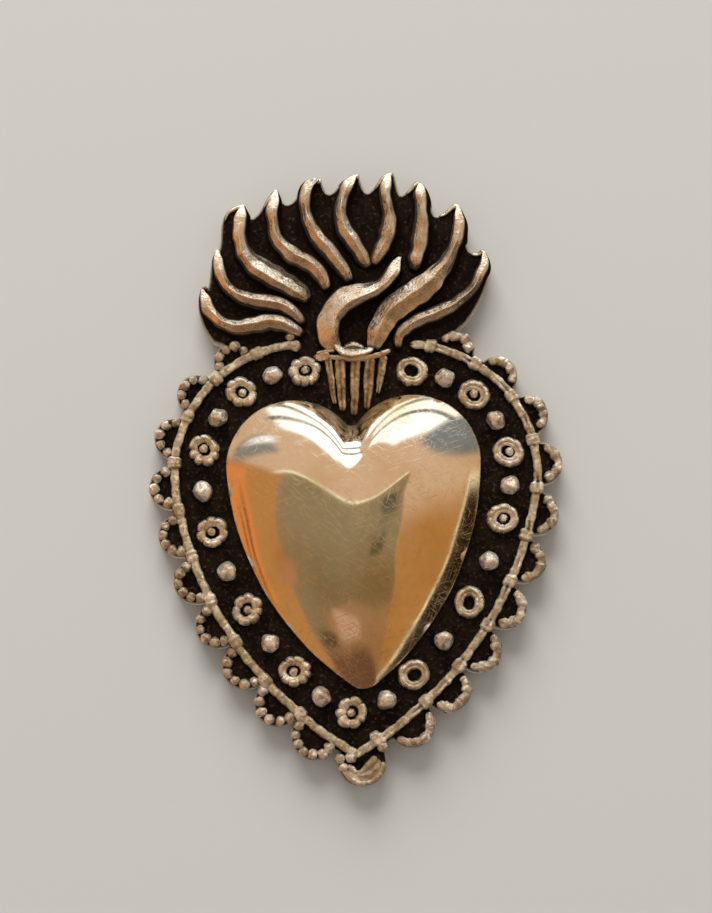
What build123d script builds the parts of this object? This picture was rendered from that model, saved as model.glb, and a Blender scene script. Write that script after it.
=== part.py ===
from build123d import *
import math
import os

# Sacred-heart charm in oxidised silver, lying face up on z = 0, sizes in millimetres and degrees.
# +Y runs from the tip of the heart to the flames, and the front pieces are soldered to the plate's top.

# Back plate
plate_edge = 2.0  # full thickness, left standing round the edge
plate_web = 0.7  # sheet over the hollow back
edge_margin = 0.06  # plate showing outside a bead or a wire
hollow_inset = 1.3  # from the rim line to the hollow's wall
vent_diameter = 1.2
vent_y = -4.0

# Rim line of the heart: shoulder and flank arcs on each side, meeting in a point
shoulder_x = 5.0
shoulder_y = 0.2
shoulder_radius = 12.6
flank_radius = 36.0
shoulder_join = -10.0  # angle where shoulder runs into flank
rim_tip_radius = 1.6
rim_cleft_radius = 3.0

# Rim wires
wire_radius = 0.5
wire_lift = 0.3  # wire centre above the plate
knuckle_radius = 0.66
wire_end_left = 87.0  # angles on the shoulder where the wires stop
wire_end_right = 89.0

# Lace edge: beaded scallops outside the rim
scallops_a_side = 10
scallop_first_left = 4.2  # from the tip, along the rim line
scallop_first_right = 6.0
scallop_end_left = 57.6  # angles on the shoulder of the last scallops
scallop_end_right = 69.0
scallop_tip_shift = 0.6  # the lowest scallop sits this far right of the tip
scallop_radius_top = 1.4  # to the middle of the beads, at the shoulders
scallop_radius_tip = 1.85
scallop_offset_top = 0.32  # scallop centre outside the rim line
scallop_offset_tip = 0.7
bead_radius = 0.47
bead_spacing = 0.88
bead_lift = 0.25
link_radius = 0.26
solder_gap = 0.08  # clearance between pieces that lie side by side

# Border of flower rings and dots, on a line inside the rim
border_inset = 2.6
border_steps_left = [4.1, 3.6, 3.5, 4.0] + [4.1] * 4 + [3.42] * 3 + [3.2]  # in proportion, from the tip
border_steps_right = [3.6] * 2 + [4.4] * 4 + [3.3] * 6
cup_gap_left = 0.18  # from the middle of the cup's side to the last ring
cup_gap_right = 0.64
tip_ring_rise = 0.9  # the lowest ring sits this far above the border line's tip
tip_ring_shift = -0.4
ring_radius = 1.12  # to the middle of the ring
ring_thickness = 0.42
ring_lift = 0.3
petal_count = 8
petal_radius = 0.48
petal_circle = 1.2
seed_radius = 0.5
seed_lift = 0.25
empty_rings = (8, 9, 13)  # ring numbers that have lost their seed
dot_radius = 1.05
dot_lift = 0.35

# Puffed heart, in proportion to the rim
dome_centre = (0.0, shoulder_y - 0.333 * shoulder_radius)  # the outlines shrink towards this point
dome_turn = 2.8  # the heart is set slightly askew
lobe_x = 0.46 * shoulder_radius  # from the dome's centre
lobe_rise = 0.397 * shoulder_radius
lobe_radius = 0.524 * shoulder_radius
dome_flank_radius = 0.778 * flank_radius
lobe_join = -3.0
dome_tip_radius = 2.0
dome_cleft_radius = 0.8
dome_height = 5.0
dome_skirt = 0.3  # upright wall below the curve
dome_wall = 0.7
dome_fullness = 2.3  # exponent of the curve from skirt to crown
cleft_fade = 2.4  # how fast the cleft and the tip soften towards the crown
tip_fade = 1.0
blunt_tip_radius = 0.7 * shoulder_radius  # the tip softens no further than this
dome_levels = (1.0, 0.93, 0.84, 0.73, 0.6, 0.45, 0.28, 0.12, 0.04)

# Fluted cup and its lip: tops below the top of the shoulders, feet above the dome's cleft
flute_tops = ((-2.65, 1.7), (-1.4, 1.55), (0.0, 1.6), (1.4, 1.55), (2.7, 1.65))
flute_feet = ((-2.3, 3.5), (-1.15, 1.95), (0.0, 1.3), (1.15, 1.95), (2.25, 3.5))
flute_top_radius = 0.75
flute_foot_radius = 0.52
flute_lift = 0.35
lip_half_width = 3.5
lip_drop = 0.85
lip_dip = 0.3  # the lip's middle hangs below its ends
lip_radius = 0.6
lip_lift = 0.5

# Flames: centre lines from root to tip, measured from the top of the shoulders, with width and height
flame_lines = (
    (((-5.7, 1.45), (-7.9, 2.25), (-12.0, 1.75), (-13.9, 2.8), (-15.05, 5.0)), 1.75, 1.5),
    (((-5.5, 2.9), (-9.0, 4.2), (-12.0, 5.3), (-13.3, 7.2), (-13.6, 9.3)), 1.6, 1.6),
    (((-5.0, 4.7), (-8.6, 6.4), (-10.7, 8.5), (-11.6, 11.2), (-11.25, 13.8)), 2.0, 1.7),
    (((-2.95, 6.1), (-4.6, 8.0), (-7.1, 9.7), (-8.0, 12.4), (-7.75, 15.3)), 2.1, 1.7),
    (((-1.2, 7.1), (-2.4, 9.1), (-4.4, 11.6), (-4.7, 14.4), (-3.6, 16.5)), 2.1, 1.8),
    (((0.7, 9.0), (-0.3, 10.8), (-1.4, 12.9), (-0.7, 15.0), (-0.05, 17.0)), 2.0, 1.8),
    (((2.1, 8.6), (3.0, 10.4), (3.35, 12.7), (3.0, 15.2), (3.35, 17.1)), 2.0, 1.8),
    (((5.75, 7.9), (6.3, 10.2), (6.45, 13.2), (6.1, 16.2)), 2.0, 1.7),
    (((1.75, 1.0), (3.2, 3.3), (6.6, 5.8), (9.2, 9.2), (10.1, 11.8), (9.95, 13.9)), 2.2, 2.1),
    (((4.9, 1.5), (6.6, 2.8), (10.2, 4.6), (12.0, 7.0), (12.5, 9.3)), 1.9, 1.6),
    (((-1.9, 0.9), (-2.2, 2.2), (-0.4, 3.9), (2.6, 5.75), (3.9, 7.4), (4.3, 8.8)), 2.3, 2.3),
)
# Share of the centre line, then the width and height there as shares of the flame's own
flame_stations = (
    (0.0, 0.5, 0.55),
    (0.12, 0.8, 0.85),
    (0.35, 1.0, 1.0),
    (0.6, 0.95, 0.95),
    (0.8, 0.75, 0.75),
    (1.0, 0.15, 0.2),
)
flank_swell = (0.62, 0.56)  # middle of a flame's side, as shares of its half width and height

# Toothed edge of the plate behind the flames: curves from one tip to the next, left to right, then the foot
plume_teeth = (
    ((-13.9, 0.3), (-15.05, 2.2), (-15.45, 4.1), (-15.15, 5.7)),
    ((-15.15, 5.7), (-14.5, 5.6)),
    ((-14.5, 5.6), (-14.3, 7.0), (-14.0, 8.7), (-13.4, 9.55)),
    ((-13.4, 9.55), (-13.25, 11.0), (-13.0, 12.7), (-12.25, 13.6), (-11.05, 14.0)),
    ((-11.05, 14.0), (-10.85, 13.2), (-10.25, 12.65), (-9.65, 13.05), (-8.85, 14.4), (-7.75, 15.6)),
    ((-7.75, 15.6), (-7.45, 14.7), (-6.85, 14.05), (-6.15, 14.35), (-5.35, 15.75), (-4.6, 16.25), (-3.4, 16.6)),
    ((-3.4, 16.6), (-3.25, 15.75), (-2.7, 15.1), (-2.05, 15.45), (-1.2, 16.45), (-0.6, 16.85), (0.35, 17.05)),
    ((0.35, 17.05), (0.5, 16.0), (1.1, 15.2), (1.85, 15.8), (2.6, 16.85), (3.6, 17.25)),
    ((3.6, 17.25), (3.95, 16.1), (4.45, 14.95), (5.1, 15.4), (5.65, 16.05), (6.25, 16.35)),
    ((6.25, 16.35), (6.95, 15.5), (7.35, 13.8), (7.85, 12.85), (8.7, 13.25), (9.25, 13.75), (9.95, 14.15)),
    ((9.95, 14.15), (10.7, 12.3), (10.85, 10.8), (11.2, 9.3), (11.85, 9.15), (12.55, 9.6)),
    ((12.55, 9.6), (13.1, 7.5), (12.8, 6.1), (12.1, 4.4), (10.8, 2.3)),
    ((10.8, 2.3), (6.0, -2.0)),
    ((6.0, -2.0), (-6.0, -2.0)),
    ((-6.0, -2.0), (-13.9, 0.3)),
)
plume_hollow = (8.6, 6.2)  # half axes of the hollow behind the flames
plume_hollow_rise = 6.4

# Folding bail in the hollow
bail_wire = 0.7
bail_inner_width = 4.2
bail_inner_length = 5.0
bail_bend = 0.8  # centre-line bend beside the bar
bail_bow = 2.2  # centre-line bend at the free end
bail_rise = 9.2  # bar above the top of the shoulders
bail_play = 0.05  # running clearance round the bar
strap_width = 2.4
strap_length = 2.2
strap_foot = 0.1  # strap's lowest face above the ground

plume_y = shoulder_y + shoulder_radius
web_bottom = plate_edge - plate_web
cleft_rise = math.sqrt((lobe_radius + dome_cleft_radius) ** 2 - lobe_x**2)
cleft_y = dome_centre[1] + lobe_rise + cleft_rise - dome_cleft_radius


def save(piece, name):
    """Labels a finished piece and writes it to its own file."""
    piece.part.label = name
    export_step(piece.part, f"parts/{name}.step")


def flank_centre():
    """Centre of the right flank arc, which runs tangent into the shoulder arc."""
    reach = shoulder_radius - flank_radius
    join = math.radians(shoulder_join)
    return shoulder_x + reach * math.cos(join), shoulder_y + reach * math.sin(join)


def rim_place(side, along, inset=0.0):
    """Point and outward angle on the rim line, `along` mm from the tip on the side -1 or +1."""
    flank_x, flank_y = flank_centre()
    flank = flank_radius - inset
    tip = -math.acos(-flank_x / flank)
    join = math.radians(shoulder_join)
    flank_length = (join - tip) * flank
    if along <= flank_length:
        angle = tip + along / flank
        x = flank_x + flank * math.cos(angle)
        y = flank_y + flank * math.sin(angle)
    else:
        shoulder = shoulder_radius - inset
        angle = join + (along - flank_length) / shoulder
        x = shoulder_x + shoulder * math.cos(angle)
        y = shoulder_y + shoulder * math.sin(angle)
    outward = math.degrees(angle)
    return (side * x, y), outward if side > 0 else 180.0 - outward


def shoulder_distance(angle, inset=0.0):
    """Distance along the rim line from the tip to an angle on the shoulder arc."""
    flank_x, _ = flank_centre()
    flank = flank_radius - inset
    tip = -math.acos(-flank_x / flank)
    join = math.radians(shoulder_join)
    return (join - tip) * flank + (math.radians(angle) - join) * (shoulder_radius - inset)


def scallop_pitch(first, end_angle):
    """Distance between scallops that are spaced evenly from the first to an angle on the shoulder."""
    return (shoulder_distance(end_angle) - first) / (scallops_a_side - 1)


def heart_outline(centre_x, centre_y, lobe, flank, join, tip, cleft, size=1.0):
    """Closed heart of six tangent arcs, drawn `size` times its full size about the origin."""
    join_angle = math.radians(join)
    flank_x = centre_x + (lobe - flank) * math.cos(join_angle)
    flank_y = centre_y + (lobe - flank) * math.sin(join_angle)
    tip_y = flank_y - math.sqrt((flank - tip) ** 2 - flank_x**2)
    tip_angle = math.degrees(math.atan2(tip_y - flank_y, -flank_x))
    cleft_y = centre_y + math.sqrt((lobe + cleft) ** 2 - centre_x**2)
    cleft_angle = math.degrees(math.atan2(cleft_y - centre_y, -centre_x))
    arcs = (
        (0, cleft_y, cleft, -cleft_angle, 2 * cleft_angle - 180),
        (centre_x, centre_y, lobe, join, cleft_angle - join),
        (flank_x, flank_y, flank, tip_angle, join - tip_angle),
        (0, tip_y, tip, 180 - tip_angle, 180 + 2 * tip_angle),
        (-flank_x, flank_y, flank, 180 - join, join - tip_angle),
        (-centre_x, centre_y, lobe, 180 - cleft_angle, cleft_angle - join),
    )
    for x, y, radius, start, sweep_angle in arcs:
        CenterArc((size * x, size * y), size * radius, start, sweep_angle)


def rim_heart(inset):
    """The rim line's heart, moved in by `inset`, as a face."""
    with BuildSketch(mode=Mode.PRIVATE) as heart:
        with BuildLine():
            heart_outline(
                shoulder_x,
                shoulder_y,
                shoulder_radius - inset,
                flank_radius - inset,
                shoulder_join,
                max(rim_tip_radius - inset, bead_radius),
                rim_cleft_radius + inset,
            )
        make_face()
    return heart.sketch


def dome_solid(inset, bottom):
    """The puffed heart, moved in all round by `inset`, from the height `bottom` up."""
    crown = plate_edge + dome_skirt
    rise = dome_height - dome_skirt - inset
    turn = math.radians(dome_turn)
    with BuildPart(mode=Mode.PRIVATE) as dome:
        for share in dome_levels:
            height = crown + rise * (1 - share**dome_fullness)
            tip_radius = min((dome_tip_radius - inset) / share**tip_fade, blunt_tip_radius)
            level = Plane((*dome_centre, height), x_dir=(math.cos(turn), math.sin(turn), 0))
            with BuildSketch(level):
                with BuildLine():
                    heart_outline(
                        lobe_x,
                        lobe_rise,
                        lobe_radius - inset,
                        dome_flank_radius - inset,
                        lobe_join,
                        tip_radius,
                        (dome_cleft_radius + inset) / share**cleft_fade,
                        share,
                    )
                make_face()
        loft()
        extrude(dome.faces().sort_by(Axis.Z)[0], amount=crown - bottom, dir=(0, 0, -1))
    return dome.part


def scallop_plan():
    """Seat, radius and offset of each scallop, left top to right top, growing towards the tip."""
    left = [scallop_first_left + n * pitch_left for n in range(scallops_a_side)]
    right = [scallop_first_right + n * pitch_right for n in range(scallops_a_side)]
    (_, tip_y), _ = rim_place(1, 0.0)
    places = [(along, *rim_place(-1, along)) for along in reversed(left)]
    places.append((0.0, (scallop_tip_shift, tip_y), -90.0))
    places += [(along, *rim_place(1, along)) for along in right]
    plan = []
    for along, place, outward in places:
        share = along / max(left + right)
        radius = scallop_radius_tip + share * (scallop_radius_top - scallop_radius_tip)
        offset = scallop_offset_tip + share * (scallop_offset_top - scallop_offset_tip)
        plan.append((Location((*place, 0), (0, 0, outward - 90)), radius, offset))
    return plan


def bead_chain(radius, offset):
    """A scallop at the origin, facing +Y: beads on a bent wire, stopping clear of the rim and its knots."""
    pitch = min(pitch_left, pitch_right)
    wire_apart = wire_radius + bead_radius + solder_gap
    knot_apart = knuckle_radius + bead_radius + solder_gap
    spread = math.hypot(pitch, 2 * offset)
    room = (pitch**2 / 4 + radius**2 + offset**2 - knot_apart**2) / (radius * spread)
    to_wire = math.acos((wire_apart - offset) / radius)
    to_knot = math.atan2(2 * offset, pitch) + math.asin(min(room, 1.0))
    reach = math.degrees(min(to_wire, to_knot))
    steps = round(2 * math.radians(reach) * radius / bead_spacing)
    angles = [90 - reach + 2 * reach * n / steps for n in range(steps + 1)]
    bead_z = plate_edge + bead_lift
    with BuildPart(mode=Mode.PRIVATE) as chain:
        with BuildLine(Plane.XY.offset(bead_z)) as route:
            CenterArc((0, offset), radius, 90 - reach, 2 * reach)
        with BuildSketch(Plane(route.wire() @ 0, z_dir=route.wire() % 0)):
            Circle(link_radius)
        sweep()
        with Locations((0, offset, bead_z)):
            with Locations([Vector(radius, 0).rotate(Axis.Z, angle) for angle in angles]):
                Sphere(bead_radius)
        split(bisect_by=Plane.XY.offset(plate_edge), keep=Keep.TOP)
    return chain.part


def border_places(side, steps, cup_gap):
    """Places of the border's dots and rings on one side, from the tip up, the last ring beside the cup."""
    outer = 0 if side < 0 else -1
    cup_x = abs(flute_tops[outer][0] + flute_feet[outer][0]) / 2 + (flute_top_radius + flute_foot_radius) / 2
    last_x = cup_x + cup_gap + petal_circle + petal_radius
    last_angle = math.degrees(math.acos((last_x - shoulder_x) / (shoulder_radius - border_inset)))
    scale = shoulder_distance(last_angle, border_inset) / sum(steps)
    along = 0.0
    places = []
    for step in steps:
        along += step * scale
        places.append(rim_place(side, along, border_inset)[0])
    return places


def knuckles(side, first, pitch):
    """Distances from the tip of the round knots between scallops."""
    between = [first + (n + 0.5) * pitch for n in range(scallops_a_side)]
    return [(first + side * scallop_tip_shift) / 2] + between


os.makedirs("parts", exist_ok=True)

# Back plate: heart, scallop discs and toothed plume in one sheet, hollow behind, with a vent
pitch_left = scallop_pitch(scallop_first_left, scallop_end_left)
pitch_right = scallop_pitch(scallop_first_right, scallop_end_right)
scallops = scallop_plan()
with BuildPart() as back_plate:
    with BuildSketch():
        add(rim_heart(-(knuckle_radius + edge_margin)))
        for seat, radius, offset in scallops:
            with Locations(seat * Location((0, offset))):
                Circle(radius + bead_radius + edge_margin)
        with BuildLine():
            for tooth in plume_teeth:
                Spline([(x, plume_y + y) for x, y in tooth])
        make_face()
    extrude(amount=plate_edge)
    with BuildSketch():
        add(rim_heart(hollow_inset))
        with Locations((0, plume_y + plume_hollow_rise)):
            Ellipse(*plume_hollow)
    extrude(amount=web_bottom, mode=Mode.SUBTRACT)
    with Locations((0, vent_y, plate_edge)):
        Hole(vent_diameter / 2)
save(back_plate, "back_plate")

# Puffed heart: a hollow shell that closes on the plate
with BuildPart() as heart_dome:
    add(dome_solid(0.0, plate_edge))
    add(dome_solid(dome_wall, plate_edge), mode=Mode.SUBTRACT)
save(heart_dome, "heart_dome")

# Rim wires: one each side, with a round knot at every cusp of the lace edge, mitred at the tip
rim_sides = (
    ("left", -1, wire_end_left, scallop_first_left, pitch_left),
    ("right", 1, wire_end_right, scallop_first_right, pitch_right),
)
for word, side, end_angle, first, pitch in rim_sides:
    join_at = shoulder_distance(shoulder_join)
    end_at = shoulder_distance(end_angle)
    start_at = -2 * wire_radius
    knots = [along for along in knuckles(side, first, pitch) if along < end_at - 2 * knuckle_radius]
    wire_z = plate_edge + wire_lift
    with BuildPart() as rim_wire:
        with BuildLine(Plane.XY.offset(wire_z)) as route:
            for begin, finish in ((start_at, join_at), (join_at, end_at)):
                stops = (begin, (begin + finish) / 2, finish)
                ThreePointArc(*[rim_place(side, along)[0] for along in stops])
        with BuildSketch(Plane(route.wire() @ 0, z_dir=route.wire() % 0)):
            Circle(wire_radius)
        sweep()
        with Locations([(*rim_place(side, along)[0], wire_z) for along in knots + [end_at]]):
            Sphere(knuckle_radius)
        split(bisect_by=Plane.XY.offset(plate_edge), keep=Keep.TOP)
        split(bisect_by=Plane.YZ, keep=Keep.TOP if side > 0 else Keep.BOTTOM)
    save(rim_wire, f"rim_wire_{word}")

# Lace edge: a beaded scallop at every seat
for number, (seat, radius, offset) in enumerate(scallops, 1):
    with BuildPart() as scallop:
        with Locations(seat):
            add(bead_chain(radius, offset))
    save(scallop, f"scallop_{number:02d}")

# Border: a flower ring at the tip, then dots and rings by turns up both sides
left_places = border_places(-1, border_steps_left, cup_gap_left)
right_places = border_places(1, border_steps_right, cup_gap_right)
(tip_x, tip_y), _ = rim_place(1, 0.0, border_inset)
tip_place = (tip_x + tip_ring_shift, tip_y + tip_ring_rise)
ring_places = left_places[1::2][::-1] + [tip_place] + right_places[1::2]
dot_places = left_places[0::2] + right_places[0::2]
with BuildPart() as ring_pattern:
    with Locations((0, 0, plate_edge + ring_lift)):
        Torus(ring_radius, ring_thickness)
        with PolarLocations(petal_circle, petal_count):
            Sphere(petal_radius)
    split(bisect_by=Plane.XY.offset(plate_edge), keep=Keep.TOP)
for number, place in enumerate(ring_places, 1):
    with BuildPart() as rosette:
        with Locations(place):
            add(ring_pattern.part)
    save(rosette, f"rosette_{number:02d}")

seeded = [place for number, place in enumerate(ring_places, 1) if number not in empty_rings]
with BuildPart() as rosette_granules:
    with Locations([(*place, plate_edge + seed_lift) for place in seeded]):
        Sphere(seed_radius)
    split(bisect_by=Plane.XY.offset(plate_edge), keep=Keep.TOP)
save(rosette_granules, "rosette_granules")

with BuildPart() as bead_granules:
    with Locations([(*place, plate_edge + dot_lift) for place in dot_places]):
        Sphere(dot_radius)
    split(bisect_by=Plane.XY.offset(plate_edge), keep=Keep.TOP)
save(bead_granules, "bead_granules")

# Fluted cup: five tapered flutes side by side
flute_z = plate_edge + flute_lift
with BuildPart() as fluted_collar:
    for top, foot in zip(flute_tops, flute_feet):
        top_point = Vector(top[0], plume_y - top[1], flute_z)
        foot_point = Vector(foot[0], cleft_y + foot[1], flute_z)
        with BuildSketch(Plane(top_point, z_dir=foot_point - top_point)):
            Circle(flute_top_radius)
        with BuildSketch(Plane(foot_point, z_dir=foot_point - top_point)):
            Circle(flute_foot_radius)
        loft()
    split(bisect_by=Plane.XY.offset(plate_edge), keep=Keep.TOP)
save(fluted_collar, "fluted_collar")

# Lip of the cup: a round bar that dips in the middle
with BuildPart() as collar_lip:
    with BuildLine(Plane.XY.offset(plate_edge + lip_lift)) as dip:
        lip_y = plume_y - lip_drop
        lip_end = lip_y + lip_dip
        ThreePointArc((-lip_half_width, lip_end), (0, lip_y), (lip_half_width, lip_end))
    with BuildSketch(Plane(dip.wire() @ 0, z_dir=dip.wire() % 0)):
        Circle(lip_radius)
    sweep()
    split(bisect_by=Plane.XY.offset(plate_edge), keep=Keep.TOP)
save(collar_lip, "collar_lip")

# Flames: ridges that swell from the root and run out to a point
for number, (points, width, height) in enumerate(flame_lines, 1):
    with BuildLine(Plane.XY.offset(plate_edge)) as spine:
        Spline([(x, plume_y + y) for x, y in points])
    with BuildPart() as flame:
        for share, wide, tall in flame_stations:
            along = spine.line % share
            across = Vector(0, 0, 1).cross(along)
            half = width * wide / 2
            crest = height * tall
            side_x = half * flank_swell[0]
            side_z = crest * flank_swell[1]
            with BuildSketch(Plane(spine.line @ share, x_dir=across, z_dir=along)):
                with BuildLine():
                    Line((-half, 0), (half, 0))
                    ThreePointArc((half, 0), (side_x, side_z), (0, crest))
                    ThreePointArc((0, crest), (-side_x, side_z), (-half, 0))
                make_face()
        loft()
    save(flame, f"flame_{number:02d}")

# Folding bail: a D-shaped loop whose bar turns in a strap under the plate
bail_radius = bail_wire / 2
bail_y = plume_y + bail_rise
bail_z = (web_bottom + strap_foot) / 2
loop_half = bail_inner_width / 2 + bail_radius
loop_length = bail_inner_length + bail_wire
with BuildPart() as bail_ring:
    with BuildLine(Plane.XY.offset(bail_z)) as loop:
        FilletPolyline(
            (-loop_half, bail_y),
            (loop_half, bail_y),
            (loop_half, bail_y - loop_length),
            (-loop_half, bail_y - loop_length),
            radius=[bail_bend, bail_bend, bail_bow, bail_bow],
            close=True,
        )
    with BuildSketch(Plane(loop.wire() @ 0, z_dir=loop.wire() % 0)):
        Circle(bail_radius)
    sweep()
save(bail_ring, "bail_ring")

with BuildPart() as bail_strap:
    with BuildSketch(Plane.YZ.offset(-strap_width / 2)):
        with Locations((bail_y, bail_z)):
            Rectangle(strap_length, web_bottom - strap_foot)
            Circle(bail_radius + bail_play, mode=Mode.SUBTRACT)
    extrude(amount=strap_width)
save(bail_strap, "bail_strap")
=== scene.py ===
import math

import bpy
import numpy as np
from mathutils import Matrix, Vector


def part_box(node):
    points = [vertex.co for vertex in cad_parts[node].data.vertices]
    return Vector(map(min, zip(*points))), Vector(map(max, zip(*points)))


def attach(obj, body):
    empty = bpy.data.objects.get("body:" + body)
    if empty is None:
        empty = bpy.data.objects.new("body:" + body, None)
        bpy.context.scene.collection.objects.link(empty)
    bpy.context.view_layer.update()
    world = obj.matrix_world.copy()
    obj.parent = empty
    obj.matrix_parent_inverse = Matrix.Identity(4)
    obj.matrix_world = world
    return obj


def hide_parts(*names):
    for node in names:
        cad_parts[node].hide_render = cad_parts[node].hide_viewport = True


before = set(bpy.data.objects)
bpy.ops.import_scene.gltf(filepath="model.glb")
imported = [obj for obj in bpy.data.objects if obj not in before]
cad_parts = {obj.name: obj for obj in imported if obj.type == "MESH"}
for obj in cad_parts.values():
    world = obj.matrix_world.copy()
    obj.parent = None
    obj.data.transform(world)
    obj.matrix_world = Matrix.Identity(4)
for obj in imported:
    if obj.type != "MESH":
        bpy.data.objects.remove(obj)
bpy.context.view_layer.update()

# Looks of the sacred-heart charm: raised heart, rim wires, beaded lace edge, border rings and dots, cup and
# flames are surfaces worked out here in millimetres; the back plate and the bail keep their solids.

MM = 0.001
PLATE_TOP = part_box("fluted_collar")[0].z / MM
SEAT = PLATE_TOP - 0.06  # soldered pieces sink this far into the plate
BODY = "charm"

# Rim line of the heart, as in the solids
SHOULDER_X = 5.0
SHOULDER_Y = 0.2
SHOULDER_RADIUS = 12.6
FLANK_RADIUS = 36.0
SHOULDER_JOIN = math.radians(-10.0)
FLANK_X = SHOULDER_X + (SHOULDER_RADIUS - FLANK_RADIUS) * math.cos(SHOULDER_JOIN)
FLANK_Y = SHOULDER_Y + (SHOULDER_RADIUS - FLANK_RADIUS) * math.sin(SHOULDER_JOIN)
PLUME_Y = SHOULDER_Y + SHOULDER_RADIUS  # the flames are measured from here

# Rim wires, on the left (-1) and on the right (1)
RIM_START = -0.35
RIM_ENDS = {-1: math.radians(87.0), 1: math.radians(89.0)}
RIM_STEPS = 900
WIRE_RADIUS = 0.42
WIRE_LIFT = 0.3
KNOT_RADIUS = 0.64
KNOT_LENGTH = 0.55
KNOT_EDGE = 8  # power of a knot's steep ends
KNOT_LEAST = 0.7  # share of the full size that a knot has at least, and what chance adds at most
KNOT_SPREAD = 0.5
KNOT_CREASE = {-1: 0.4, 1: 0.25}  # how much less the creases beside a knot are polished
CREASE_PLACE = 1.1 * KNOT_LENGTH
CREASE_WIDTH = 0.12
CREASE_LEAST = 0.3
TIP_KNOT = 2.6  # the right wire's first knot, from the tip; the left wire has none there
STRAND_GROOVE = {-1: 0.06, 1: 0.3}  # the right wire is two strands, half melted together
STRAND_MEAN = 0.6  # mean share of the groove's depth
CURL_BEADS = (((-5.95, 12.65), 0.6), ((-6.45, 13.55), 0.46))

# Lace edge: scallops of separate beads on the left, of half-melted beads on the right, a leaf at the tip
SCALLOPS_A_SIDE = 10
TIP_SCALLOP = SCALLOPS_A_SIDE + 1
SCALLOP_FIRST = {-1: 4.2, 1: 6.0}
SCALLOP_END = {-1: math.radians(57.6), 1: math.radians(69.0)}
SCALLOP_RADIUS = (1.85, 1.4)  # at the tip, at the shoulders
SCALLOP_OFFSET = (0.74, 0.36)
SCALLOP_REACH = (math.radians(88.0), math.radians(76.0))
SCALLOP_STEPS = 140
BEAD_RADIUS = 0.51
BEAD_UNEVEN = 0.12
BEAD_SPACING = 1.0
BEAD_LIFT = 0.27
LINK_RADIUS = 0.2
LINK_POLISH = 0.4
MELTED_RADIUS = 0.5
MELTED_UNEVEN = 0.1
MELTED_LEAST = 0.38
MELTED_SPREAD = 1.3  # melted beads are this much further apart
MELTED_LUMPS = 3
MELTED_END = 10  # steps at each end of a scallop without a lump
LUMP_RADIUS = (0.46, 0.6)
# Folded leaf: lift and squash, radii along it, and route of its blade, its rim and its pleats
TIP_BARS = (
    ((0.1, 0.45), (0.4, 0.6, 0.8, 0.88, 0.7, 0.35),
     ((-1.0, -28.3), (0.1, -29.05), (1.0, -28.95), (1.65, -28.4), (2.05, -27.75), (2.1, -27.2))),
    ((0.25, 0.8), (0.2, 0.26, 0.28, 0.3, 0.28, 0.24),
     ((-1.25, -28.4), (-0.5, -29.2), (0.6, -29.65), (1.7, -29.3), (2.5, -28.4), (2.6, -27.6))),
    ((0.3, 0.8), (0.16, 0.4, 0.36), ((0.25, -28.75), (1.05, -28.15), (1.95, -27.1))),
    ((0.34, 0.9), (0.14, 0.28, 0.24), ((0.1, -28.8), (-0.25, -28.35), (-0.8, -27.95))),
    ((0.4, 0.8), (0.1, 0.2, 0.14), ((0.35, -28.95), (1.1, -28.85), (2.0, -28.2))),
)
TIP_BEADS = (
    ((-1.2, -28.15), 0.48), ((-0.5, -27.2), 0.62), ((-1.5, -27.3), 0.52),
    ((1.85, -25.25), 0.62), ((2.55, -26.15), 0.58), ((-3.1, -27.0), 0.42),
)

# Border of flower rings and dots
BORDER_INSET = 2.6
BORDER_STEPS = {
    -1: [4.1, 3.6, 3.5, 4.0] + [4.1] * 4 + [3.42] * 3 + [3.2],
    1: [3.6] * 2 + [4.4] * 4 + [3.3] * 6,
}
RING_COUNT = 13
LEFT_RINGS = 7
EMPTY_RINGS = (8, 9, 13)
RING_RADIUS = 1.05
RING_TUBE = 0.46
RING_LIFT = 0.3
PETALS = 7
RING_GRID = (168, 36)  # points round a ring and round its tube
RING_OVAL = 0.06
RING_HEAVY = 0.1
PETAL_DRIFT = (0.25, 0.12)  # how unevenly petals stand, once and three times round
PETAL_REACH = 0.4  # petals end this far inside the top of the tube
PETAL_POWER = 0.6
PETAL_MEAN = 0.7
PETAL_DEPTH = (0.42, 0.2)  # left and right of the heart
CLEFT_WIDTH = 0.25
CLEFT_DARK = 1.4
RING_GROOVE = (0.12, 0.26)
GROOVE_PLACE = 1.85
GROOVE_SPREAD = 0.3
RING_DULL = 1.6
SEED_RADIUS = 0.45
SEED_SHIFT = 0.14
SEED_LIFT = 0.22
DOT_RADIUS = 1.0
DOT_LIFT = 0.38
FLATS = 10  # planes that cut a bead, at this share of its radius
FLAT_DEPTH = 0.86
BALL_GRID = (20, 28)  # points from pole to pole and round a bead
POLE_GAP = 0.03
LUMP_LENGTH = 1.5  # length of the waves on a bead, as a share of its radius
RUB = (0.1, 0.75)  # shares of a piece's height where polishing starts to reach, and where it is full

# Raised heart
HEART_CENTRE = (0.0, SHOULDER_Y - 0.333 * SHOULDER_RADIUS)
HEART_TURN = math.radians(2.8)
LOBE_X = 0.46 * SHOULDER_RADIUS
LOBE_RISE = 0.397 * SHOULDER_RADIUS
LOBE_RADIUS = 0.524 * SHOULDER_RADIUS
HEART_FLANK = 0.778 * FLANK_RADIUS
LOBE_JOIN = math.radians(-3.0)
HEART_TIP = 2.0
BLUNT_TIP = 0.7 * SHOULDER_RADIUS
HEART_CLEFT = 0.8
HEART_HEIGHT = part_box("heart_dome")[1].z / MM - PLATE_TOP
HEART_SKIRT = 0.6
HEART_FULLNESS = 2.3
HEART_MIDDLE = 0.012  # size of the innermost outline
HEART_RINGS = 110
SKIRT_RINGS = 5
SKIRT_TOP = 0.92
LOBE_STEPS = 70
CLEFT_STEPS = 28
FLANK_STEPS = 80
TIP_STEPS = 36
WAVE_FADE = 6  # power with which the waviness fades towards the foot
CLEFT_FADE = 2.4
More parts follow.
